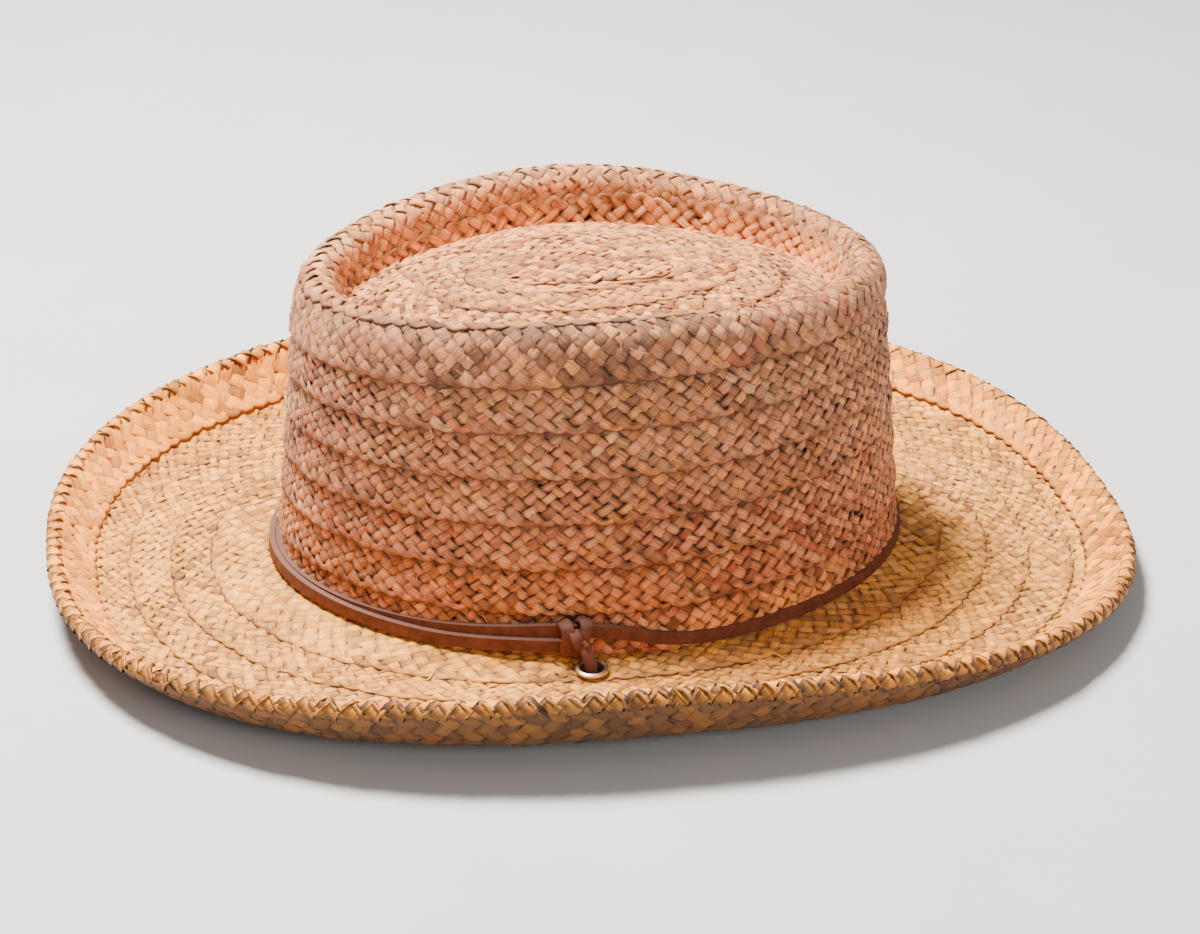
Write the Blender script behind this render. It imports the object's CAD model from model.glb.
"""Looks of the straw cowboy hat. The hat's sizes are in millimetres, in the CAD's own frame: +Z up,
-Y the front of the hat, +X the wearer's left. The brim stands on Z = 0, and heights on the crown
and brim are counted from the crown's foot, which is foot_height above it. Camera and lights are in
metres. Angles t run about +Z from +X, so the back is at 90 degrees."""

import math

import bpy
import numpy as np
from mathutils import Matrix, Vector


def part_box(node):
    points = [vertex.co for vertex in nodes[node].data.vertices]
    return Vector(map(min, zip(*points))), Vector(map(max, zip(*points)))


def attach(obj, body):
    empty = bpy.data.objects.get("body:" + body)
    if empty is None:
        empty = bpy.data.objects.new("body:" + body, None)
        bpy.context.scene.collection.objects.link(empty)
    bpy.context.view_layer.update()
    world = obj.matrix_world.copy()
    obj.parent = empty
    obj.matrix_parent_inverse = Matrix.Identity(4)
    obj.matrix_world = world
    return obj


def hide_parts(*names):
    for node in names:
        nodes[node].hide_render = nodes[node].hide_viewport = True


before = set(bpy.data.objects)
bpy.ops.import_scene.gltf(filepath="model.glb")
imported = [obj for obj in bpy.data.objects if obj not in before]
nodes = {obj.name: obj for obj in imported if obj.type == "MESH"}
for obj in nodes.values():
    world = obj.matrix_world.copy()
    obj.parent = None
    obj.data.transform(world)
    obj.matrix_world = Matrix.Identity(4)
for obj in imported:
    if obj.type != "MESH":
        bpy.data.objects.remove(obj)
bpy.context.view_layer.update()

MM = 0.001
foot_height = 6.775
rng = np.random.default_rng(41)


# ---------------- camera and light
camera_place = (0.8829, -0.1595, 0.4709)
camera_target = (0.0, 0.00337, 0.0305)
camera_roll = math.radians(0.32)
focal_length = 86.3
sensor_width = 36.0
far_clip = 20.0
lamp_target = (0.0, 0.0, 0.05)


def look_from(obj, place, target, roll=0.0):
    """Turns obj at place towards target, rolled about its line of sight."""
    way = Vector(target) - Vector(place)
    turn = way.to_track_quat("-Z", "Y").to_matrix().to_4x4()
    obj.matrix_world = Matrix.Translation(place) @ turn @ Matrix.Rotation(roll, 4, "Z")


def add_camera():
    data = bpy.data.cameras.new("camera")
    data.lens = focal_length
    data.sensor_width = sensor_width
    data.clip_end = far_clip
    cam = bpy.data.objects.new("camera", data)
    bpy.context.scene.collection.objects.link(cam)
    look_from(cam, camera_place, camera_target, camera_roll)
    bpy.context.scene.camera = cam


def add_area(name, place, size, power, colour):
    data = bpy.data.lights.new(name, "AREA")
    data.shape = "RECTANGLE"
    data.size, data.size_y = size
    data.energy = power
    data.color = colour
    lamp = bpy.data.objects.new(name, data)
    bpy.context.scene.collection.objects.link(lamp)
    look_from(lamp, place, lamp_target)


def add_world(colour, strength):
    world = bpy.data.worlds.new("studio")
    bpy.context.scene.world = world
    world.use_nodes = True
    back = world.node_tree.nodes["Background"]
    back.inputs["Color"].default_value = (*colour, 1.0)
    back.inputs["Strength"].default_value = strength


# ---------------- material helpers
class Nodes:
    """A material and short calls that add and join its nodes."""

    def __init__(self, name):
        self.material = bpy.data.materials.new(name)
        self.material.use_nodes = True
        self.tree = self.material.node_tree
        self.shader = self.tree.nodes["Principled BSDF"]

    def add(self, kind, links=None, **values):
        node = self.tree.nodes.new(kind)
        for key, value in values.items():
            setattr(node, key, value)
        for socket, source in (links or {}).items():
            if isinstance(source, (int, float, tuple)):
                node.inputs[socket].default_value = source
            else:
                self.tree.links.new(source, node.inputs[socket])
        return node

    def attribute(self, name):
        return self.add("ShaderNodeAttribute", attribute_name=name)

    def times(self, a, b):
        return self.add("ShaderNodeMath", {0: a, 1: b}, operation="MULTIPLY").outputs[0]

    def scaled(self, vector, by):
        return self.add("ShaderNodeVectorMath", {0: vector, 1: by}, operation="MULTIPLY").outputs[0]

    def noise(self, vector, scale, detail, roughness=0.55):
        sockets = {"Vector": vector, "Scale": scale, "Detail": detail, "Roughness": roughness}
        return self.add("ShaderNodeTexNoise", sockets).outputs["Fac"]

    def ramp(self, factor, *stops):
        """Colours by factor. Each stop is a place from 0 to 1 and a colour, or one grey level."""
        node = self.add("ShaderNodeValToRGB", {"Fac": factor})
        stops = [(place, (colour,) * 3 if isinstance(colour, float) else colour) for place, colour in stops]
        stops = [(place, (*colour, 1.0)) for place, colour in stops]
        elements = node.color_ramp.elements
        for element, (place, colour) in zip(elements, (stops[0], stops[-1]), strict=True):
            element.position, element.color = place, colour
        for place, colour in stops[1:-1]:
            elements.new(place).color = colour
        return node.outputs["Color"]

    def mix(self, factor, a, b, blend="MIX"):
        node = self.add("ShaderNodeMix", data_type="RGBA", blend_type=blend)
        for socket, source in ((node.inputs[0], factor), (node.inputs[6], a), (node.inputs[7], b)):
            if isinstance(source, (int, float)):
                socket.default_value = source
            elif isinstance(source, tuple):
                socket.default_value = (*source, 1.0)
            else:
                self.tree.links.new(source, socket)
        return node.outputs[2]

    def bump(self, height, strength, distance, normal=None):
        links = {"Height": height, "Strength": strength, "Distance": distance}
        if normal is not None:
            links["Normal"] = normal
        return self.add("ShaderNodeBump", links).outputs["Normal"]

    def finish(self, colour, roughness, normal=None, **constants):
        self.tree.links.new(colour, self.shader.inputs["Base Color"])
        if isinstance(roughness, float):
            self.shader.inputs["Roughness"].default_value = roughness
        else:
            self.tree.links.new(roughness, self.shader.inputs["Roughness"])
        if normal is not None:
            self.tree.links.new(normal, self.shader.inputs["Normal"])
        for socket, value in constants.items():
            self.shader.inputs[socket.replace("_", " ")].default_value = value
        return self.material


def straw_material():
    """Raffia: a tint per strand, fine fibres along it, darker streaks and small stains."""
    n = Nodes("straw")
    tint = n.attribute("tint").outputs["Color"]
    fibre = n.attribute("fibre").outputs["Vector"]
    place = n.add("ShaderNodeTexCoord").outputs["Object"]
    ribs = n.noise(n.scaled(fibre, (0.16, 4.2, 1.0)), 1.0, 4.0, 0.66)
    streaks = n.noise(n.scaled(fibre, (0.045, 1.9, 1.0)), 1.0, 2.0)
    stains = n.noise(place, 34.0, 4.0, 0.6)
    shade = n.ramp(ribs, (0.34, (0.30, 0.21, 0.14)), (0.47, (0.88, 0.84, 0.80)),
                   (0.66, (1.30, 1.27, 1.20)))
    colour = n.mix(1.0, tint, shade, "MULTIPLY")
    streak_colour = n.ramp(streaks, (0.34, (0.66, 0.50, 0.42)), (0.52, 1.0), (0.75, (1.05, 1.04, 1.0)))
    colour = n.mix(0.8, colour, streak_colour, "MULTIPLY")
    stain_colour = n.ramp(stains, (0.30, (0.80, 0.70, 0.62)), (0.50, 1.0), (0.72, (1.06, 1.03, 0.97)))
    colour = n.mix(0.7, colour, stain_colour, "MULTIPLY")
    roughness = n.ramp(ribs, (0.3, 0.72), (0.7, 0.52))
    normal = n.bump(ribs, 0.9, 0.0005)
    return n.finish(colour, roughness, normal, Specular_IOR_Level=0.38, Sheen_Weight=0.06)


def leather_material(name, dark, light, edge_light):
    """Split leather: mottled brown, fine grain, and paler where the cut edge faces up."""
    n = Nodes(name)
    place = n.add("ShaderNodeTexCoord").outputs["Object"]
    mottle = n.noise(place, 260.0, 5.0, 0.65)
    grain = n.noise(place, 1500.0, 3.0, 0.6)
    colour = n.ramp(mottle, (0.3, dark), (0.72, light))
    normal = n.add("ShaderNodeNewGeometry").outputs["Normal"]
    facing = n.add("ShaderNodeSeparateXYZ", {0: normal}).outputs["Z"]
    up = n.ramp(facing, (0.55, 0.0), (0.9, 1.0))
    colour = n.mix(n.times(up, 0.55), colour, edge_light)
    roughness = n.ramp(grain, (0.3, 0.78), (0.7, 0.56))
    normal = n.bump(grain, 0.5, 0.0003, n.bump(mottle, 0.5, 0.0005))
    return n.finish(colour, roughness, normal, Specular_IOR_Level=0.28)


def metal_material(name, bright, dull):
    """Plated metal with fine scratches and slight tarnish."""
    n = Nodes(name)
    place = n.add("ShaderNodeTexCoord").outputs["Object"]
    tarnish = n.noise(place, 420.0, 4.0, 0.6)
    scratch = n.noise(n.scaled(place, (1.0, 7.0, 1.0)), 900.0, 3.0, 0.7)
    colour = n.ramp(tarnish, (0.35, dull), (0.65, bright))
    roughness = n.ramp(scratch, (0.3, 0.22), (0.7, 0.42))
    normal = n.bump(scratch, 0.15, 0.0001)
    return n.finish(colour, roughness, normal, Metallic=1.0)


def ribbon_material(name, dark, light):
    """Ribbed cotton ribbon: fine upright ribs with a slight weave between them."""
    n = Nodes(name)
    fibre = n.attribute("fibre").outputs["Vector"]
    place = n.add("ShaderNodeTexCoord").outputs["Object"]
    sockets = {"Vector": fibre, "Scale": 0.32, "Distortion": 0.4, "Detail": 2.0}
    ribs = n.add("ShaderNodeTexWave", sockets, wave_type="BANDS", bands_direction="X").outputs["Fac"]
    wear = n.noise(place, 60.0, 4.0, 0.6)
    colour = n.mix(n.times(ribs, 0.5), dark, light)
    worn = n.ramp(wear, (0.3, (0.7, 0.68, 0.66)), (0.7, 1.05))
    colour = n.mix(0.6, colour, worn, "MULTIPLY")
    normal = n.bump(ribs, 0.6, 0.0003)
    return n.finish(colour, 0.85, normal, Specular_IOR_Level=0.2, Sheen_Weight=0.2)


def floor_material():
    """Pale matt studio paper with a faint mottle."""
    n = Nodes("floor")
    place = n.add("ShaderNodeTexCoord").outputs["Object"]
    mottle = n.noise(place, 9.0, 5.0, 0.6)
    colour = n.ramp(mottle, (0.3, (0.69, 0.68, 0.66)), (0.7, (0.73, 0.72, 0.70)))
    return n.finish(colour, 0.82, n.bump(mottle, 0.05, 0.001), Specular_IOR_Level=0.25)


# ---------------- meshes
def mesh_object(name, verts, faces, material, tint=None, fibre=None):
    """A smooth mesh object from points in mm. Faces are a list, or an array if all are alike."""
    mesh = bpy.data.meshes.new(name)
    verts = np.asarray(verts, dtype=np.float32) * MM
    if isinstance(faces, np.ndarray):
        count, sides = faces.shape
        mesh.vertices.add(len(verts))
        mesh.vertices.foreach_set("co", verts.ravel())
        mesh.loops.add(count * sides)
        mesh.loops.foreach_set("vertex_index", faces.astype(np.int32).ravel())
        mesh.polygons.add(count)
        mesh.polygons.foreach_set("loop_start", np.arange(0, count * sides, sides, dtype=np.int32))
        mesh.update(calc_edges=True)
    else:
        mesh.from_pydata(verts.tolist(), [], faces)
    if tint is not None:
        layer = mesh.attributes.new("tint", "FLOAT_COLOR", "POINT")
        full = np.ones((len(verts), 4), dtype=np.float32)
        full[:, :3] = tint
        layer.data.foreach_set("color", full.ravel())
    if fibre is not None:
        layer = mesh.attributes.new("fibre", "FLOAT_VECTOR", "POINT")
        layer.data.foreach_set("vector", np.asarray(fibre, dtype=np.float32).ravel())
    mesh.validate()
    mesh.shade_smooth()
    mesh.materials.append(material)
    obj = bpy.data.objects.new(name, mesh)
    bpy.context.scene.collection.objects.link(obj)
    return obj


# ---------------- the hat's surface
row_count = 17              # rows from the middle of the tip to the edge of the brim
tip_rows = 4
wall_first_row = 6
brim_first_row = 12
steps_per_row = 24
turn_samples = 720

base_half_length = 106.7
base_half_width = 88.2
crown_height = 104.0
length_taper = 9.1          # the crown's top is this much shorter at each end than its foot
width_taper = 13.8
crown_arch = 3.8            # the top is this much higher at the sides, lower at front and back
crown_exponent = 1.9        # 2 is an ellipse, less is more pointed
rim_radius = 5.0
rim_middle = crown_height - rim_radius
rim_arc = 5.03              # length of a radian of the rolled rim's section
rim_quarter = 7.9           # and of a quarter of its circle
tip_half_width = 61.4
tip_extra_length = 22.6
tip_smallest_reach = 0.8
tip_dome = 8.0
tip_dome_run = 43.4
tip_foot = 88.0
tip_sway = 1.9
tip_inset = 13.0            # the tip's edge from the outside of the crown's top
side_rise = 11.0            # the short wall from the tip's edge up to the rim
side_length = 11.4
top_row_length = 17.5       # from the top of the rim down to the foot of the first wall row

brim_length = 78.0
brim_width = 63.1
brim_squareness = 0.5       # added to the exponent by the edge
turn_start = 0.7            # share of the brim where it begins to turn up
turn_power = 2.2
flat_height = -3.0
flat_sway = 2.5
edge_height = 12.5
edge_sway = 7.3
edge_pitch = 2.8
first_brim_row = 0.27       # share of the brim that its first row covers
other_brim_row = 0.1825


def oval(length, width, power, angle):
    """A point on a superellipse with half sizes width along X and length along Y."""
    c = np.abs(np.cos(angle)) / width
    s = np.abs(np.sin(angle)) / length
    r = (c**power + s**power) ** (-1.0 / power)
    return r * np.cos(angle), r * np.sin(angle)


def wave(angle):
    """1 at the sides of the hat, -1 at front and back."""
    return np.cos(2 * angle)


def tip_at(share, t):
    """The sunken top: share 0 at its middle, 1 at its outer edge."""
    reach = np.maximum(tip_half_width * share, tip_smallest_reach)
    x, y = oval(tip_extra_length + reach, reach, crown_exponent, t)
    rise = np.clip((tip_half_width - reach) / tip_dome_run, 0, 1)
    z = tip_foot + tip_dome * rise * (2 - rise) + tip_sway * (1 - rise) * wave(t)
    return x, y, z


def top_oval(reach, t):
    """A point on the crown's top outline, moved out by reach."""
    length = base_half_length - length_taper
    return oval(length + reach, base_half_width - width_taper + reach, crown_exponent, t)


def side_at(share, t):
    """The short wall from the tip's edge, share 0, up to the start of the rolled rim, share 1."""
    up = 1 - share
    x, y = top_oval(-2 * rim_radius - (tip_inset - 2 * rim_radius) * up, t)
    return x, y, rim_middle - side_rise * up + crown_arch * (1 - up / 2) * wave(t)


def rim_at(angle, t):
    """The rolled rim: angle 0 outside, half pi on top, pi inside."""
    x, y = top_oval(rim_radius * math.cos(angle) - rim_radius, t)
    return x, y, rim_middle + rim_radius * math.sin(angle) + crown_arch * wave(t)


def wall_at(height, t, lift=0.0):
    """The crown's wall at a height above its foot, moved out by lift."""
    share = height / crown_height
    half_length = base_half_length - length_taper * share + lift
    x, y = oval(half_length, base_half_width - width_taper * share + lift, crown_exponent, t)
    return x, y, height + crown_arch * share**2 * wave(t)


def brim_at(share, t):
    """The brim: share 0 at the crown's foot, 1 at the edge."""
    exponent = crown_exponent + brim_squareness * max(share, 0)
    x, y = oval(base_half_length + brim_length * share, base_half_width + brim_width * share, exponent, t)
    run = min(max(share / turn_start, 0), 1)
    turn = max((share - turn_start) / (1 - turn_start), 0)
    flat = flat_height + flat_sway * wave(t)
    edge = edge_height + edge_sway * wave(t) - edge_pitch * np.sin(t)
    return x, y, flat * run * (2 - run) + (edge - flat) * turn**turn_power


def meridian(row, t):
    """The hat's surface at row 0, its middle, to row_count, the edge of the brim."""
    if row < tip_rows:
        return tip_at(row / tip_rows, t)
    if row < tip_rows + 1:
        run = (row - tip_rows) * (side_length + rim_quarter)
        if run < side_length:
            return side_at(run / side_length, t)
        return rim_at(math.pi - (run - side_length) / rim_arc, t)
    top_row_rest = top_row_length - rim_quarter
    if row < wall_first_row:
        run = (row - tip_rows - 1) * top_row_length
        if run < rim_quarter:
            return rim_at(math.pi / 2 - run / rim_arc, t)
        return wall_at(rim_middle - (run - rim_quarter), t)
    if row < brim_first_row:
        share = (row - wall_first_row) / (brim_first_row - wall_first_row)
        return wall_at((rim_middle - top_row_rest) * (1 - share), t)
    if row < brim_first_row + 1:
        return brim_at(first_brim_row * (row - brim_first_row), t)
    return brim_at(first_brim_row + other_brim_row * (row - brim_first_row - 1), t)


def smooth_rows(table, times):
    """Rounds the corners between the parts of the meridian, but not its ends."""
    fixed = 3
    for _ in range(times):
        middle = 0.25 * table[:-2] + 0.5 * table[1:-1] + 0.25 * table[2:]
        table[fixed:-fixed] = middle[fixed - 1:1 - fixed]
    return table


def make_tables():
    """Places and normals of the hat's surface by row and angle."""
    t = np.arange(turn_samples) * 2 * math.pi / turn_samples
    rows = np.arange(row_count * steps_per_row + 1) / steps_per_row
    places = np.array([np.stack(meridian(row, t), axis=-1) for row in rows])
    places[..., 2] += foot_height
    places = smooth_rows(places, 3)
    along = np.roll(places, -1, axis=1) - np.roll(places, 1, axis=1)
    across = np.gradient(places, axis=0)
    normals = np.cross(across, along)
    normals /= np.linalg.norm(normals, axis=-1, keepdims=True) + 1e-9
    return places, smooth_rows(normals, 2)


surface_places, surface_normals = make_tables()


def read_table(table, row, t):
    """The table's value between its samples, at arrays of rows and angles."""
    i = np.clip(row * steps_per_row, 0, row_count * steps_per_row - 1e-6)
    j = np.mod(t / (2 * math.pi), 1.0) * turn_samples
    i0, j0 = i.astype(int), j.astype(int) % turn_samples
    u, w = (i - i0)[..., None], (j - np.floor(j))[..., None]
    j1 = (j0 + 1) % turn_samples
    near = table[i0, j0] * (1 - w) + table[i0, j1] * w
    far = table[i0 + 1, j0] * (1 - w) + table[i0 + 1, j1] * w
    return near * (1 - u) + far * u


def skin(row, t):
    """Place and normal of the hat's surface at arrays of rows and angles."""
    normal = read_table(surface_normals, row, t)
    normal /= np.linalg.norm(normal, axis=-1, keepdims=True) + 1e-9
    return read_table(surface_places, row, t), normal


# ---------------- the plait
lap = 0.2                   # part of a row that lies under the row before it
start_angle = math.radians(-10)
lean_start = 0.1            # how far a row stands off the hat's surface at its inner edge
crown_lean = 1.9            # and how much further at its outer edge, on the crown's wall
flat_lean = 0.75            # and elsewhere
lean_first_row = 4.9
lean_last_row = 12.3
lean_fade = 0.5


def band_at(turn, v):
    """Place and normal of the spiral plait: turn in whole turns from the middle, v across it."""
    room = np.clip(row_count - 0.02 - (turn - lap), 0.05, 1 + lap)
    row = np.maximum(turn - lap + v * room, 0.0)
    t = start_angle - 2 * math.pi * turn
    place, normal = skin(row, t)
    steep = np.clip((row - lean_first_row) / lean_fade, 0, 1)
    steep *= np.clip((lean_last_row - row) / lean_fade, 0, 1)
    lift = lean_start + (flat_lean + (crown_lean - flat_lean) * steep) * v
    return place + normal * lift[..., None], normal, row


hem_reach = 11.5            # the hem's legs, above and below the brim
hem_radius = 1.75           # the fold round the brim's edge
last_row_width = 13.0       # the brim's last row at the sides
last_row_extra = 1.6        # and this much more at front and back


def hem_at(angle, v):
    """Place and normal of the hem plait, folded over the brim's edge: v 0 above, 1 below."""
    leg = hem_reach / (2 * hem_reach + math.pi * hem_radius)
    edge, up = skin(np.full_like(angle, row_count), angle)
    inside, _ = skin(np.full_like(angle, row_count - 0.1), angle)
    out = edge - inside
    out /= np.linalg.norm(out, axis=-1, keepdims=True)
    turn = np.clip((v - leg) / (1 - 2 * leg), 0, 1) * math.pi
    depth = np.clip(np.maximum(leg - v, v - (1 - leg)) / leg, 0, 1) * hem_reach
    row_size = last_row_width + last_row_extra * np.abs(np.sin(angle))
    place, normal = skin(row_count - depth / row_size, angle)
    flat = depth > 0
    lift = np.where(v < 0.5, hem_radius, -hem_radius)
    flat_place = place + normal * lift[..., None]
    flat_normal = normal * np.sign(lift)[..., None]
    round_normal = up * np.cos(turn)[..., None] + out * np.sin(turn)[..., None]
    round_place = edge + round_normal * hem_radius
    place = np.where(flat[..., None], flat_place, round_place)
    return place, np.where(flat[..., None], flat_normal, round_normal)


eyelet_centres = ((98.5, -17.0), (-98.5, -17.0))
bore_radius = 4.0
pressed_radius = 5.9
pressed_slope = 2.0
pressed_depth = 1.5
above_brim = 20.0           # faces this far above the crown's foot belong to the crown


def sink_at_eyelets(place):
    """Presses the plait down under the eyelets' flanges."""
    for x, y in eyelet_centres:
        away = np.hypot(place[..., 0] - x, place[..., 1] - y)
        near = np.clip((pressed_radius + pressed_slope - away) / pressed_slope, 0, 1)
        place[..., 2] -= near * pressed_depth
    return place


def outside_bores(verts, faces):
    """The faces that leave the eyelets' bores open."""
    keep = np.ones(len(faces), dtype=bool)
    middles = verts[faces].mean(axis=1)
    for x, y in eyelet_centres:
        away = np.hypot(middles[:, 0] - x, middles[:, 1] - y)
        keep &= (away > bore_radius) | (middles[:, 2] > foot_height + above_brim)
    return faces[keep]


# A strand's section: points across it from -1 to 1, how high each stands, and its shade
profile_across = np.array([-1.0, -0.62, -0.22, 0.22, 0.62, 1.0, 0.55, -0.55])
profile_up = np.array([-0.05, 0.52, 0.64, 0.64, 0.52, -0.05, -0.45, -0.45])
strand_shade = np.array([0.20, 0.86, 1.04, 1.04, 0.86, 0.20, 0.40, 0.40])


def smooth_noise(count, step, source):
    """Random values from -1 to 1 that change smoothly over step samples."""
    knots = source.uniform(-1, 1, count // step + 3)
    x = np.arange(count) / step + source.uniform(0, 1)
    i = x.astype(int)
    f = x - i
    f = f * f * (3 - 2 * f)
    return knots[i] * (1 - f) + knots[i + 1] * f


def strand_tubes(centres, normals, widths, thicks, ribs):
    """Lens-shaped tubes along the rows of centres, with shapes (strands, stations, 3)."""
    tangents = np.gradient(centres, axis=1)
    sides = np.cross(normals, tangents)
    sides /= np.linalg.norm(sides, axis=-1, keepdims=True) + 1e-9
    ups = np.cross(tangents, sides)
    ups /= np.linalg.norm(ups, axis=-1, keepdims=True) + 1e-9
    across = profile_across[None, None, :, None] * widths[:, :, None, None] / 2
    rise = (profile_up[None, None, :] * thicks[..., None] + ribs)[..., None]
    verts = centres[:, :, None] + sides[:, :, None] * across + ups[:, :, None] * rise
    return verts, across[..., 0]


def tube_faces(strands, stations, sides):
    """Quads of open tubes, in one array."""
    first = np.arange(strands)[:, None, None] * stations * sides
    first = first + np.arange(stations - 1)[None, :, None] * sides
    k = np.arange(sides)[None, None, :]
    k1 = (k + 1) % sides
    quads = np.stack([first + k, first + k1, first + sides + k1, first + sides + k], axis=-1)
    return quads.reshape(-1, 4)


def straw_object(name, centres, normals, widths, thicks, ribs, tints, fibres, shade):
    """One mesh of many strands, each with a row of places, tints and so on."""
    centres, normals, widths = np.array(centres), np.array(normals), np.array(widths)
    strands, stations, _ = centres.shape
    sides = len(profile_across)
    verts, across = strand_tubes(centres, normals, widths, np.array(thicks), np.array(ribs))
    fibres = np.array(fibres)[:, :, None, :].repeat(sides, axis=2)
    fibre = np.stack([fibres[..., 0], across, fibres[..., 1]], axis=-1).reshape(-1, 3)
    tint = np.array(tints)[:, :, None, :].repeat(sides, axis=2)
    tint = tint * np.reshape(shade, (1, 1, -1, 1))
    verts = verts.reshape(-1, 3)
    faces = tube_faces(strands, stations, sides)
    if name == "inner_brim_plait":
        verts = sink_at_eyelets(verts)
        faces = outside_bores(verts, faces)
    return mesh_object(name, verts, faces, straw, tint.reshape(-1, 3), fibre)


def towards(tint, colour, share):
    """Tints moved towards a colour by a share at each place."""
    return tint * (1 - share[:, None]) + np.array(colour) * share[:, None]


peach = (1.08, 0.43, 0.135)
rose_tan = (0.72, 0.315, 0.155)
golden = (1.1, 0.49, 0.07)
deep_gold = (0.80, 0.34, 0.05)
rust = (0.52, 0.10, 0.025)
brown = (0.27, 0.10, 0.035)
pale = (0.90, 0.55, 0.27)
orange = (1.25, 0.62, 0.12)
crown_tint_row, crown_tint_fade = 4.2, 1.2
brim_tint_row, brim_tint_fade = 11.9, 0.25
stain_angle, stain_half_angle = math.radians(32), 0.55
stain_row, stain_half_rows = 11.7, 0.75
stain_share = 0.85
# Odd straws: colour, the part of all straws that have it, and how much of it they take
odd_straws = ((pale, 0.0, 0.16, 0.45), (rust, 0.16, 0.22, 0.60), (brown, 0.22, 0.27, 0.55),
              (deep_gold, 0.27, 0.40, 0.45))
brim_oddness = 0.55         # odd straws show this much on the brim
shortest_straw, longest_straw = 18, 75      # in stations along a strand


def base_tint(row, t):
    """The straw's colour by place: peach tip, rosy crown, golden brim, an orange stain at the foot."""
    to_crown = np.clip((row - crown_tint_row) / crown_tint_fade, 0, 1)
    to_brim = np.clip((row - brim_tint_row) / brim_tint_fade, 0, 1)
    tint = towards(towards(np.array(peach), rose_tan, to_crown), golden, to_brim)
    side = np.abs(np.angle(np.exp(1j * (t - stain_angle))))
    stain = np.clip(1 - side / stain_half_angle, 0, 1)
    stain = stain * np.clip(1 - np.abs(row - stain_row) / stain_half_rows, 0, 1)
    return towards(tint, orange, stain_share * stain)


def strand_tints(row, t, length, source):
    """Tints along one strand, which is pieced together from straws of many colours."""
    tint = base_tint(row, t)
    straw_count = length // shortest_straw + 2
    ends = np.cumsum(source.integers(shortest_straw, longest_straw, straw_count))
    piece = np.searchsorted(ends, np.arange(length))
    count = piece.max() + 1
    level = source.normal(1.06, 0.24, count)
    pick = source.uniform(0, 1, count)
    oddness = np.where(row < brim_first_row, 1.0, brim_oddness)
    for colour, low, high, share in odd_straws:
        tint = towards(tint, colour, ((pick >= low) & (pick < high))[piece] * share * oddness)
    return tint * np.clip(level, 0.55, 1.35)[piece][:, None]


def zigzag(x):
    """Across the plait from 0 to 1 and back as x goes from 0 to 1, rounded at the folds."""
    sharpness = 0.996
    return 0.5 - np.arcsin(sharpness * np.cos(2 * math.pi * x)) / (2 * math.asin(sharpness))


def weave_height(v, rising, strand_count):
    """1 where a strand is over the others, -1 where it is under, 0 at its folds."""
    cell = v * strand_count
    bump = np.cos(math.pi * cell) * np.where(rising, -1.0, 1.0)
    window = np.clip(np.minimum(cell, strand_count - cell) / 0.6, 0, 1)
    flatness = 1.7
    return np.tanh(flatness * bump) / math.tanh(flatness) * window


hem_gold = np.array((1.2, 1.02, 0.64))
hem_outside = np.array((0.18, 0.15, 0.08))
hem_turn, hem_turn_fade = 0.50, 0.06        # across the hem, where its outside begins
hem_least_light, least_light = 0.8, 0.38    # of a strand where it is under the others
seam_edge, seam_fade = 0.33, 0.12           # across a row, where the seam's shade ends
fold_reach = 0.07                           # across a row, how far its folded edges reach
fold_width, fold_thickness = 0.68, 1.35     # of a strand in the folds
fibre_scale = 1.18


def plait(name, centre_of, distance, phase_of, look, source):
    """One piece of plait. centre_of(v) gives places, normals, rows and angles at the stations, and
    phase_of(distance) counts the strands' times across the plait and back."""
    stations = len(distance)
    strand_count = look["count"]
    centres, normals, widths, thicks, ribs, tints, fibres = [], [], [], [], [], [], []
    shares = (0.02, 0.26, 0.5, 0.74, 0.98)
    crossing = np.array([centre_of(np.full(stations, share))[0] for share in shares])
    stretch = np.linalg.norm(np.diff(crossing, axis=0), axis=2).sum(axis=0) / look["span"]
    stretch = np.clip(stretch, 0.35, 1.6)
    for k in range(strand_count):
        x = np.mod(phase_of(distance) + k / strand_count, 1.0)
        v = zigzag(x) + look["wander"] * smooth_noise(stations, 4, source)
        v = np.clip(v, 0.0, 1.0)
        height = weave_height(v, x < 0.5, strand_count)
        place, normal, row, t = centre_of(v)
        amp = look["swing"] * (1 + 0.25 * smooth_noise(stations, 4, source))
        place = place + normal * (height * amp * np.clip(row * 2, 0, 1))[:, None]
        inside = np.clip(np.minimum(v, 1 - v) / fold_reach, 0, 1)
        width = look["width"] * (1 + look["ragged"] * smooth_noise(stations, 9, source))
        centres.append(place)
        normals.append(normal)
        widths.append(width * (fold_width + (1 - fold_width) * inside) * stretch)
        thick = look["thick"] * (fold_thickness + (1 - fold_thickness) * inside)
        thicks.append(thick * (1 + 0.2 * smooth_noise(stations, 5, source)))
        rib = np.stack([smooth_noise(stations, 6, source) for _ in range(6)], axis=-1)
        rib = np.concatenate([rib, np.zeros((stations, 2))], axis=-1)
        rib[:, (0, 5)] *= 0.4
        tilt = look["tilt"] * smooth_noise(stations, 3, source)
        ribs.append(rib * look["ribs"] + tilt[:, None] * profile_across)
        tint = strand_tints(row, t, stations, source)
        least = hem_least_light if look is hem_look else least_light
        light = least + (1 - least) * np.clip(height * 0.8 + 0.5, 0, 1)
        light *= 1 - look["seam"] * np.clip((seam_edge - v) / seam_fade, 0, 1)
        if look is hem_look:
            below = np.clip((v - hem_turn) / hem_turn_fade, 0, 1)[:, None]
            tint = tint * (hem_gold * (1 - below) + hem_outside * below)
        tints.append(tint * light[:, None])
        fibres.append(np.stack([distance * fibre_scale, np.full(stations, 7.0 * k)], axis=-1))
    return straw_object(name, centres, normals, widths, thicks, ribs, tints, fibres, strand_shade)


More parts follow.
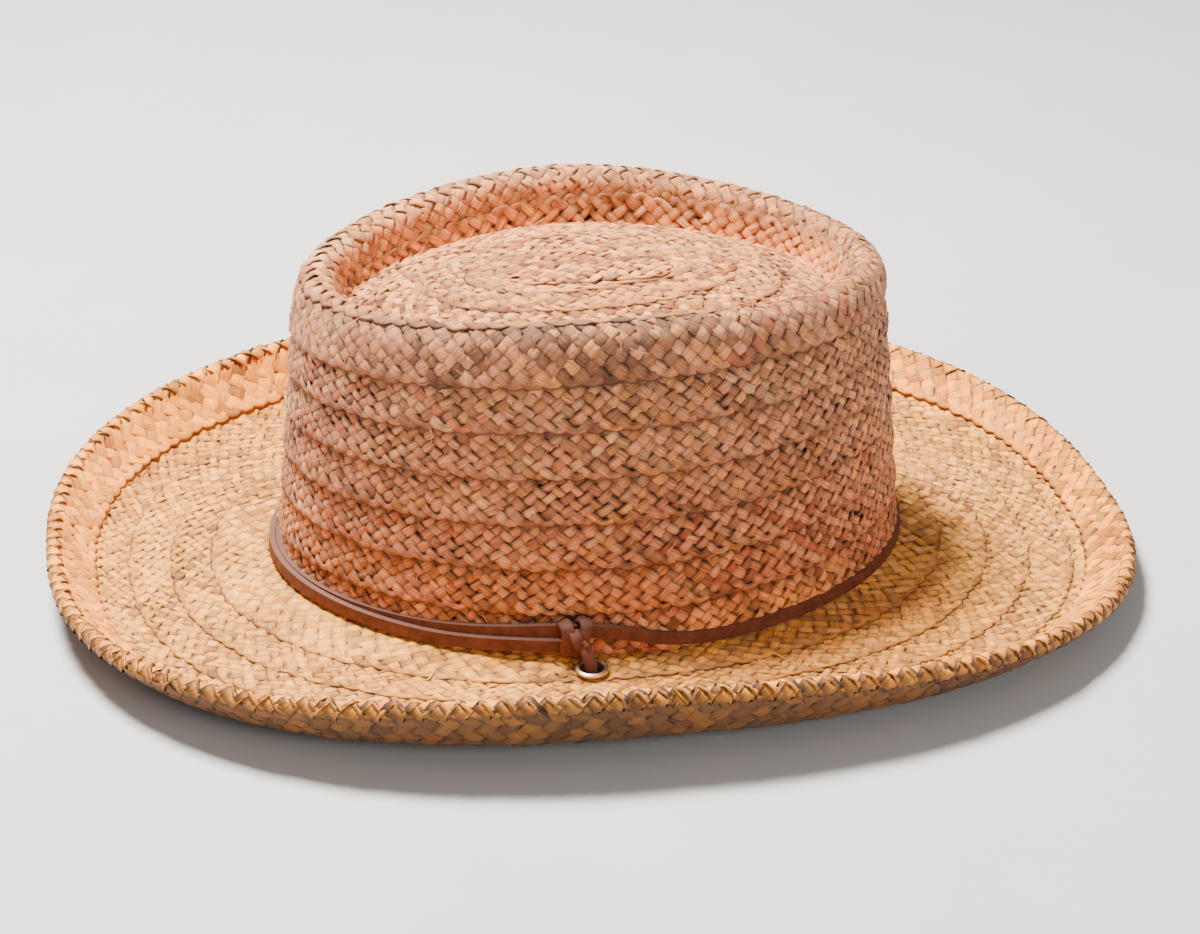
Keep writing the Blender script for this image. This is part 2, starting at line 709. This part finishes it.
def spiral_plait(name, first_turn, last_turn, look, source):
    """The piece of the spiral between two turns counted from the middle of the tip."""
    fine = np.linspace(spiral_start, last_turn, int((last_turn - spiral_start) * turn_samples) + 1)
    middle, _, _ = band_at(fine, np.full_like(fine, 0.5))
    steps = np.linalg.norm(np.diff(middle, axis=0), axis=1)
    length = np.concatenate([[0], np.cumsum(steps)])
    start = np.interp(first_turn, fine, length)
    distance = np.arange(math.floor(start / station_step), math.ceil(length[-1] / station_step) + 1)
    distance = distance * station_step
    turns = np.interp(distance, length, fine)

    def centre_of(v):
        place, normal, row = band_at(turns, v)
        return place, normal, row, start_angle - 2 * math.pi * turns

    period = look["count"] * look["pitch"]
    return plait(name, centre_of, distance, lambda d: d / period, look, source)


spiral_start = -0.3
station_step = 1.45
# Of each plait: its strands, the length between them along it, their swing over and under, their
# section and waviness, the plait's width (span) at which they have their own, and its seam's shade
crown_look = {"count": 9, "pitch": 6.0, "swing": 0.5, "width": 3.9, "ragged": 0.3, "ribs": 0.2,
              "thick": 0.85, "wander": 0.032, "span": 17.2, "seam": 0.75, "tilt": 0.3}
tip_look = {"count": 9, "pitch": 6.0, "swing": 0.36, "width": 3.7, "ragged": 0.36, "ribs": 0.17,
            "thick": 0.76, "wander": 0.04, "span": 17.6, "seam": 0.55, "tilt": 0.26}
brim_look = {"count": 9, "pitch": 6.0, "swing": 0.26, "width": 3.65, "ragged": 0.32, "ribs": 0.12,
             "thick": 0.6, "wander": 0.036, "span": 15.5, "seam": 0.28, "tilt": 0.2}
hem_look = {"count": 11, "pitch": 6.6, "swing": 0.42, "width": 4.9, "ragged": 0.18, "ribs": 0.2,
            "thick": 0.95, "wander": 0.015, "span": 27.0, "seam": 0.0, "tilt": 0.15}
rim_look = {**crown_look, "width": 4.5, "wander": 0.02, "seam": 0.3}

straw = straw_material()
tip_plait = spiral_plait("tip_plait", spiral_start, 3.6, tip_look, rng)
rim_plait = spiral_plait("rim_plait", 3.6, 5.6, rim_look, rng)
upper_wall_plait = spiral_plait("upper_wall_plait", 5.6, 8.6, crown_look, rng)
lower_wall_plait = spiral_plait("lower_wall_plait", 8.6, 11.6, crown_look, rng)
inner_brim_plait = spiral_plait("inner_brim_plait", 11.6, 13.5, brim_look, rng)
middle_brim_plait = spiral_plait("middle_brim_plait", 13.5, 15.5, brim_look, rng)
outer_brim_plait = spiral_plait("outer_brim_plait", 15.5, 16.55, brim_look, rng)


centre_length = 58.0
centre_width = 17.5
centre_height = 98.2
centre_end = 7.0            # length at each end over which it dips and narrows
centre_dip = 1.9
centre_crown = 0.7          # its edges are this much lower, 8 mm from its middle


def centre_plait():
    """The straight start of the plait, lying over the middle of the tip."""
    distance = np.arange(0, centre_length, station_step)
    y = distance - centre_length / 2

    def centre_of(v):
        x = (v - 0.5) * centre_width
        end = np.clip((np.abs(y) - (centre_length / 2 - centre_end)) / centre_end, 0, 1)
        z = foot_height + centre_height - centre_dip * end**2 - centre_crown * (x / 8) ** 2
        place = np.stack([x * (1 - 0.3 * end), y, z], axis=-1)
        return place, np.tile((0.0, 0.0, 1.0), (len(y), 1)), np.ones(len(y)), np.zeros(len(y))

    period = tip_look["count"] * tip_look["pitch"]
    return plait("centre_plait", centre_of, distance, lambda d: d / period, tip_look, rng)


hem_samples = 4001
hem_tint_row = 16.9


def hem_plait():
    """The plait folded over the brim's edge, closed on itself round the hat."""
    angle = np.linspace(0, 2 * math.pi, hem_samples)
    edge, _ = skin(np.full_like(angle, row_count), angle)
    length = np.concatenate([[0], np.cumsum(np.linalg.norm(np.diff(edge, axis=0), axis=1))])
    pitch_count = round(length[-1] / hem_look["pitch"])
    stations = round(length[-1] / station_step)
    distance = np.linspace(0, length[-1], stations + 1)
    turns = np.interp(distance, length, angle)

    def centre_of(v):
        place, normal = hem_at(turns, v)
        return place, normal, np.full(len(turns), hem_tint_row), turns

    share = pitch_count / hem_look["count"] / length[-1]
    return plait("hem_plait", centre_of, distance, lambda d: d * share, hem_look, rng)


fibre_thickness = 0.28


def loose_fibres(name, count, row_low, row_high, source):
    """Broken straw ends that stand off the plait here and there."""
    stations = 9
    centres, normals, widths, tints, fibres = [], [], [], [], []
    for _ in range(count):
        turn = source.uniform(row_low, row_high)
        v = source.uniform(0.25, 1.0)
        length = source.uniform(3.0, 9.0)
        heading = source.uniform(0, 2 * math.pi)
        curl = source.normal(0, 0.12)
        rise = source.uniform(0.05, 0.32)
        middle, normal, row = band_at(np.array([turn]), np.array([v]))
        ahead, _, _ = band_at(np.array([turn + 0.001]), np.array([v]))
        along = ahead[0] - middle[0]
        along /= np.linalg.norm(along)
        across = np.cross(normal[0], along)
        run = np.linspace(0, length, stations)
        way = heading + curl * run
        flat = np.cumsum(np.stack([np.cos(way), np.sin(way)], axis=-1), axis=0) * length / stations
        up = 0.5 + rise * run * np.sin(np.linspace(0, source.uniform(1.6, 3.0), stations))
        line = middle[0] + along * flat[:, :1] + across * flat[:, 1:] + normal[0] * up[:, None]
        centres.append(line)
        normals.append(np.tile(normal[0], (stations, 1)))
        widths.append(np.linspace(source.uniform(0.35, 1.0), 0.18, stations))
        tint = base_tint(row, np.array([0.0]))[0] * source.uniform(0.75, 1.35)
        tints.append(np.tile(np.clip(tint, 0, 1), (stations, 1)))
        fibres.append(np.stack([run, np.full(stations, turn * 31.0)], axis=-1))
    thicks = np.full((count, stations), fibre_thickness)
    ribs = np.zeros((count, stations, len(profile_across)))
    return straw_object(name, centres, normals, widths, thicks, ribs, tints, fibres, 1.0)


middle_plait = centre_plait()
edge_plait = hem_plait()
crown_fibres = loose_fibres("crown_loose_fibres", 240, 0.5, 11.3, rng)
brim_fibres = loose_fibres("brim_loose_fibres", 130, 12.6, 15.9, rng)

# ---------------- sweatband
sweatband_height = 32.0
sweatband_drop = 1.2        # its lower edge hangs this far below the crown's foot
sweatband_outer = -1.69     # its faces from the middle of the crown's wall, negative inside
sweatband_inner = -2.89
tape_outer = -2.99
tape_inner = -3.89
tape_half_width = 9.0
tape_margin = 2.5           # the tape stops this far short of the crown's foot and the band's top
stitch_height = 1.2
stitch_count = 150
stitch_share = 0.62         # of the stitches' spacing that thread covers
stitch_bow = 0.3
thread_width = 0.55
thread_thickness = 0.5


def wall_lifted(height, lift, t):
    """Points in the floor's frame on the crown's wall, moved out by lift."""
    x, y, z = wall_at(height, t, lift)
    return np.stack([x, y, z + foot_height], axis=-1)


def band_profile(low, high, inner, outer):
    """Corners (height, lift) of a ribbon's section with rounded edges."""
    half = (outer - inner) / 2
    middle = (outer + inner) / 2
    bends = (-1.2, -0.5, 0.5, 1.2)
    shares = (0.15, 0.35, 0.6, 0.85)
    points = [(low + half - half * math.cos(a), middle + half * math.sin(a)) for a in bends]
    points += [(low + (high - low) * k, outer) for k in shares]
    points += [(high - half + half * math.cos(a), middle + half * math.sin(a)) for a in bends[::-1]]
    points += [(low + (high - low) * k, inner) for k in shares[::-1]]
    return points


def wall_band(name, low, high, inner, outer, first, last, stations, closed):
    """A ribbon inside the crown's wall from angle first to angle last, or closed on itself."""
    t = np.linspace(first, last, stations + 1)
    if closed:
        t = t[:-1]
    profile = band_profile(low, high, inner, outer)
    rings = np.stack([wall_lifted(height, lift, t) for height, lift in profile], axis=1)
    step = np.linalg.norm(np.diff(rings[:, 0], axis=0), axis=1)
    arc = np.concatenate([[0], np.cumsum(step)])
    sides = len(profile)
    verts = rings.reshape(-1, 3)
    faces = tube_faces(1, len(t), sides).tolist()
    if closed:
        last_ring = (len(t) - 1) * sides
        faces += [[last_ring + k, last_ring + (k + 1) % sides, (k + 1) % sides, k] for k in range(sides)]
    else:
        faces.append(list(range(sides))[::-1])
        faces.append([len(verts) - sides + k for k in range(sides)])
    heights = np.tile([height for height, _ in profile], len(t))
    fibre = np.stack([arc.repeat(sides), heights, np.zeros(len(verts))], axis=-1)
    return mesh_object(name, verts, faces, ribbon, fibre=fibre)


def stitches(name, height, lift, material):
    """Short thread stitches in a line round the inside of the sweatband."""
    count = stitch_count
    stations = 5
    centres, normals = [], []
    for k in range(count):
        t = 2 * math.pi * (k + np.linspace(0, stitch_share, stations)) / count
        place = wall_lifted(height, lift, t)
        bow = np.sin(np.linspace(0, math.pi, stations)) * stitch_bow
        inward = -place * np.array((1, 1, 0))
        inward /= np.linalg.norm(inward, axis=1, keepdims=True)
        centres.append(place + inward * bow[:, None])
        normals.append(inward)
    shape = (count, stations)
    sides = len(profile_across)
    widths, thicks = np.full(shape, thread_width), np.full(shape, thread_thickness)
    verts, _ = strand_tubes(np.array(centres), np.array(normals), widths, thicks, np.zeros((*shape, sides)))
    return mesh_object(name, verts.reshape(-1, 3), tube_faces(count, stations, sides), material)


# ---------------- the chin cord
lace_width = 4.0
lace_thickness = 2.0
lying = 1.15                # height of the cord's middle where it lies on the floor
in_keeper = 3.25            # and where it passes through the keeper
left_route = [
    (94.8, -19.4, 15.0), (98.2, -17.6, 11.6), (98.5, -17.0, 5.9), (95.0, -17.2, 2.4),
    (86.0, -18.6, lying), (69.0, -25.5, lying), (55.0, -50.0, lying), (33.0, -76.0, lying),
    (9.0, -69.0, lying), (4.2, -43.0, lying), (2.55, -15.0, in_keeper), (2.65, 36.0, in_keeper),
    (3.4, 62.0, lying + 0.6), (2.5, 76.0, lying + 1.0),
]
right_route = [
    (-94.8, -19.4, 15.0), (-98.2, -17.6, 11.6), (-98.5, -17.0, 5.9), (-95.0, -16.8, 2.4),
    (-86.0, -17.8, lying), (-70.0, -27.0, lying), (-60.0, -51.0, lying), (-40.0, -78.0, lying),
    (-12.0, -74.0, lying), (-5.0, -46.0, lying), (-2.55, -15.0, in_keeper), (-2.65, 36.0, in_keeper),
    (-3.4, 62.0, lying + 0.6), (-2.5, 76.0, lying + 1.0),
]


def cord_path(name, route):
    """Points in metres along the smooth NURBS line with these control points."""
    curve = bpy.data.curves.new(name + "_line", "CURVE")
    curve.dimensions = "3D"
    curve.resolution_u = 24
    spline = curve.splines.new("NURBS")
    spline.points.add(len(route) - 1)
    for point, place in zip(spline.points, route, strict=True):
        point.co = (*(value * MM for value in place), 1.0)
    spline.use_endpoint_u = True
    spline.order_u = 3
    line = bpy.data.objects.new(name + "_line", curve)
    bpy.context.scene.collection.objects.link(line)
    bpy.context.view_layer.update()
    mesh = bpy.data.meshes.new_from_object(line)
    points = [tuple(vertex.co) for vertex in mesh.vertices]
    bpy.data.objects.remove(line)
    bpy.data.curves.remove(curve)
    bpy.data.meshes.remove(mesh)
    return points


strap_across = np.array([-1.0, -0.8, 0.0, 0.8, 1.0, 1.0, 0.8, 0.0, -0.8, -1.0])
strap_up = np.array([0.5, 0.95, 1.0, 0.95, 0.5, -0.5, -0.95, -1.0, -0.95, -0.5])


def strap_mesh(name, points, first_side, width=lace_width, thickness=lace_thickness, settle=0.0):
    """A flat rounded leather strap along points in mm, its width along first_side at the start.
    settle turns it flat onto the floor by that share from point to point."""
    points = np.asarray(points, dtype=float)
    tangents = np.gradient(points, axis=0)
    tangents /= np.linalg.norm(tangents, axis=1, keepdims=True)
    side = np.asarray(first_side, dtype=float)
    rings = []
    for place, tangent in zip(points, tangents, strict=True):
        side = side - tangent * side.dot(tangent)
        side /= np.linalg.norm(side)
        up = np.cross(tangent, side)
        level = np.array([tangent[1], -tangent[0], 0.0])
        if settle and abs(tangent[2]) < 0.3:
            level /= np.linalg.norm(level)
            side = side + settle * level * np.sign(side.dot(level))
        across = side * strap_across[:, None] * width / 2
        rings.append(place + across + up * strap_up[:, None] * thickness / 2)
    verts = np.concatenate(rings)
    sides = len(strap_across)
    faces = tube_faces(1, len(points), sides).tolist()
    faces.append(list(range(sides))[::-1])
    faces.append([len(verts) - sides + k for k in range(sides)])
    return mesh_object(name, verts, faces, lace_leather)


def chin_cord(name, route, node):
    """One tail of the lace on its route, its path, and its length in metres."""
    path = cord_path(name, route)
    points = np.array(path) / MM
    cord = strap_mesh(name, points, (0.0, 1.0, 0.0), settle=0.12)
    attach(cord, "hat")
    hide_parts(node)
    steps = np.linalg.norm(np.diff(np.array(path), axis=0), axis=1)
    return cord, path, float(steps.sum())


lace_leather = leather_material("lace_leather", (0.075, 0.022, 0.013), (0.155, 0.053, 0.032),
                                (0.21, 0.10, 0.07))
keeper_leather = leather_material("keeper_leather", (0.07, 0.024, 0.016), (0.14, 0.052, 0.036),
                                  (0.24, 0.13, 0.10))
eyelet_metal = metal_material("eyelet_metal", (0.80, 0.74, 0.62), (0.55, 0.48, 0.37))
wire_metal = metal_material("wire_metal", (0.62, 0.62, 0.62), (0.42, 0.42, 0.42))
ribbon = ribbon_material("ribbon", (0.055, 0.035, 0.025), (0.12, 0.08, 0.055))
thread = leather_material("thread", (0.42, 0.24, 0.11), (0.60, 0.38, 0.19), (0.62, 0.40, 0.21))

band_top = sweatband_height - sweatband_drop
band = wall_band("sweatband_ribbon", -sweatband_drop, band_top, sweatband_inner, sweatband_outer,
                 0.0, 2 * math.pi, 240, True)
tape_half = tape_half_width / base_half_length
tape = wall_band("sweatband_tape", tape_margin, band_top - tape_margin, tape_inner, tape_outer,
                 math.pi / 2 - tape_half, math.pi / 2 + tape_half, 12, False)
low_stitches = stitches("sweatband_low_stitches", stitch_height, sweatband_inner, thread)
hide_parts("sweatband")
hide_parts("sweatband_seam_tape")
for piece, slot_name in ((band, "sweatband"), (tape, "seam_tape"), (low_stitches, "sweatband"),
                         (crown_fibres, "straw_crown"), (brim_fibres, "straw_brim")):
    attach(piece, "hat")


# ---------------- the knots
loop_depth = 3.35           # half sizes of a knot's loop, across the straps' faces and up
loop_height = 5.15
loop_power = 2.5
loop_wave = 0.5


def knot_loop(name, centre, outward, shift, tilt, grow):
    """One turn of lace round both straps, drawn tight and leaning by tilt along them."""
    out = np.array((outward, 0.0, 0.0))
    along = np.array((0.0, 1.0, 0.0))
    up = np.array((0.0, 0.0, 1.0))
    angle = np.linspace(-0.04, 2 * math.pi - 0.10, 60) + math.pi
    c, s = np.cos(angle), np.sin(angle)
    reach = (np.abs(c) ** loop_power + np.abs(s) ** loop_power) ** (-1 / loop_power)
    depth, height = loop_depth * grow, loop_height * grow
    rise = reach * s * height
    points = centre + out * (reach * c * depth)[:, None] + up * rise[:, None]
    lean = shift + rise * math.tan(tilt) + loop_wave * np.sin(2 * angle)
    points = points + along * lean[:, None]
    first = along + up * math.tan(tilt) * 0.3
    loop = strap_mesh(name, points, first, width=4.4, thickness=1.7)
    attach(loop, "hat")
    return loop


def knot_tail(side_name, centre, outward):
    """The end of the lace, out from under the second loop and over to the chin cord's start."""
    end = np.array((outward * 94.8, -19.4, 15.0))
    past = np.array((outward * 95.9, -18.9, 14.0))
    top = centre + np.array((outward * 2.2, -0.4, 3.6))
    crest = centre + np.array((outward * 5.0, 0.3, 2.6))
    down = centre + np.array((outward * 5.4, 1.2, -0.8))
    line = np.array(cord_path("tail", (top, crest, down, end, past))) / MM
    tail = strap_mesh("knot_%s_tail" % side_name, line, (0.0, 1.0, 0.0), thickness=1.8)
    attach(tail, "hat")


end_knot_y = 79.4
end_knot_height = 3.75


def end_knot():
    """An overhand knot that holds both laces, with their short ends."""
    t = np.linspace(0, 2 * math.pi, 120)
    x = (np.sin(t) + 2 * np.sin(2 * t)) * 1.45
    y = (np.cos(t) - 2 * np.cos(2 * t)) * 1.15
    z = -np.sin(3 * t) * 1.55
    points = np.stack([x, y + end_knot_y, z + end_knot_height], axis=-1)
    knot = strap_mesh("end_knot", points, (0.0, 0.0, 1.0), width=3.4)
    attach(knot, "hat")
    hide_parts("chin_end_knot")
    return knot


cords_end = end_knot()
loops = (("first", -2.3, math.radians(-4), 1.02), ("second", 1.9, math.radians(20), 1.10))
for side_name, outward in (("left", 1.0), ("right", -1.0)):
    low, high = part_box("lace_knot_" + side_name)
    centre = (np.array(low) + np.array(high)) / 2 / MM
    for which, shift, tilt, grow in loops:
        loop = knot_loop("knot_%s_%s_loop" % (side_name, which), centre, outward, shift, tilt, grow)
        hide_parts("lace_knot_" + side_name)
    knot_tail(side_name, centre, outward)

for side_name, side_route in (("left", left_route), ("right", right_route)):
    node_name = "chin_cord_" + side_name
    cord, path, cord_length = chin_cord(node_name + "_lace", side_route, node_name)


# ---------------- carried-over CAD nodes
def dress(names, material):
    """Gives CAD nodes that stay as they are a better material."""
    for name in names:
        node = nodes[name]
        node.data.materials.clear()
        node.data.materials.append(material)


dress(("eyelet_left", "eyelet_right", "eyelet_washer_left", "eyelet_washer_right"), eyelet_metal)
dress(("lace_full_turn", "lace_half_turn"), lace_leather)
dress(("chin_keeper",), keeper_leather)
dress(("brim_wire",), wire_metal)
cut_edge_bevel = 0.5 * MM
for name in ("lace_full_turn", "lace_half_turn"):
    soften = nodes[name].modifiers.new("cut_edges", "BEVEL")
    soften.width = cut_edge_bevel
    soften.segments = 2
    soften.limit_method = "ANGLE"

for piece, slot_name, names in (
    (tip_plait, "straw_tip", ("tip_row_1", "tip_row_2", "tip_row_3")),
    (middle_plait, "straw_tip", ("tip_centre_plait",)),
    (rim_plait, "straw_crown", ("tip_side_row", "crown_rim_row")),
    (upper_wall_plait, "straw_crown", ("crown_row_1", "crown_row_2", "crown_row_3")),
    (lower_wall_plait, "straw_crown", ("crown_row_4", "crown_row_5", "crown_row_6")),
    (inner_brim_plait, "straw_brim", ("brim_row_1",)),
    (middle_brim_plait, "straw_brim", ("brim_row_2", "brim_row_3")),
    (outer_brim_plait, "straw_brim", ("brim_row_4", "brim_row_5")),
    (edge_plait, "straw_hem", ("hem_braid",)),
):
    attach(piece, "hat")
    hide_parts(*names)


# ---------------- floor and light
def add_floor():
    mesh = bpy.data.meshes.new("floor")
    half = 4.0
    corners = [(-half, -half, 0), (half, -half, 0), (half, half, 0), (-half, half, 0)]
    mesh.from_pydata(corners, [], [(0, 1, 2, 3)])
    mesh.materials.append(floor_material())
    obj = bpy.data.objects.new("floor", mesh)
    bpy.context.scene.collection.objects.link(obj)


add_floor()
add_camera()
add_world((0.95, 0.97, 1.0), 0.28)
add_area("key", (-0.30, -0.32, 1.25), (0.38, 0.38), 68.0, (1.0, 0.97, 0.91))
add_area("fill", (1.5, 0.5, 0.8), (0.9, 0.6), 9.0, (1.0, 0.98, 0.96))
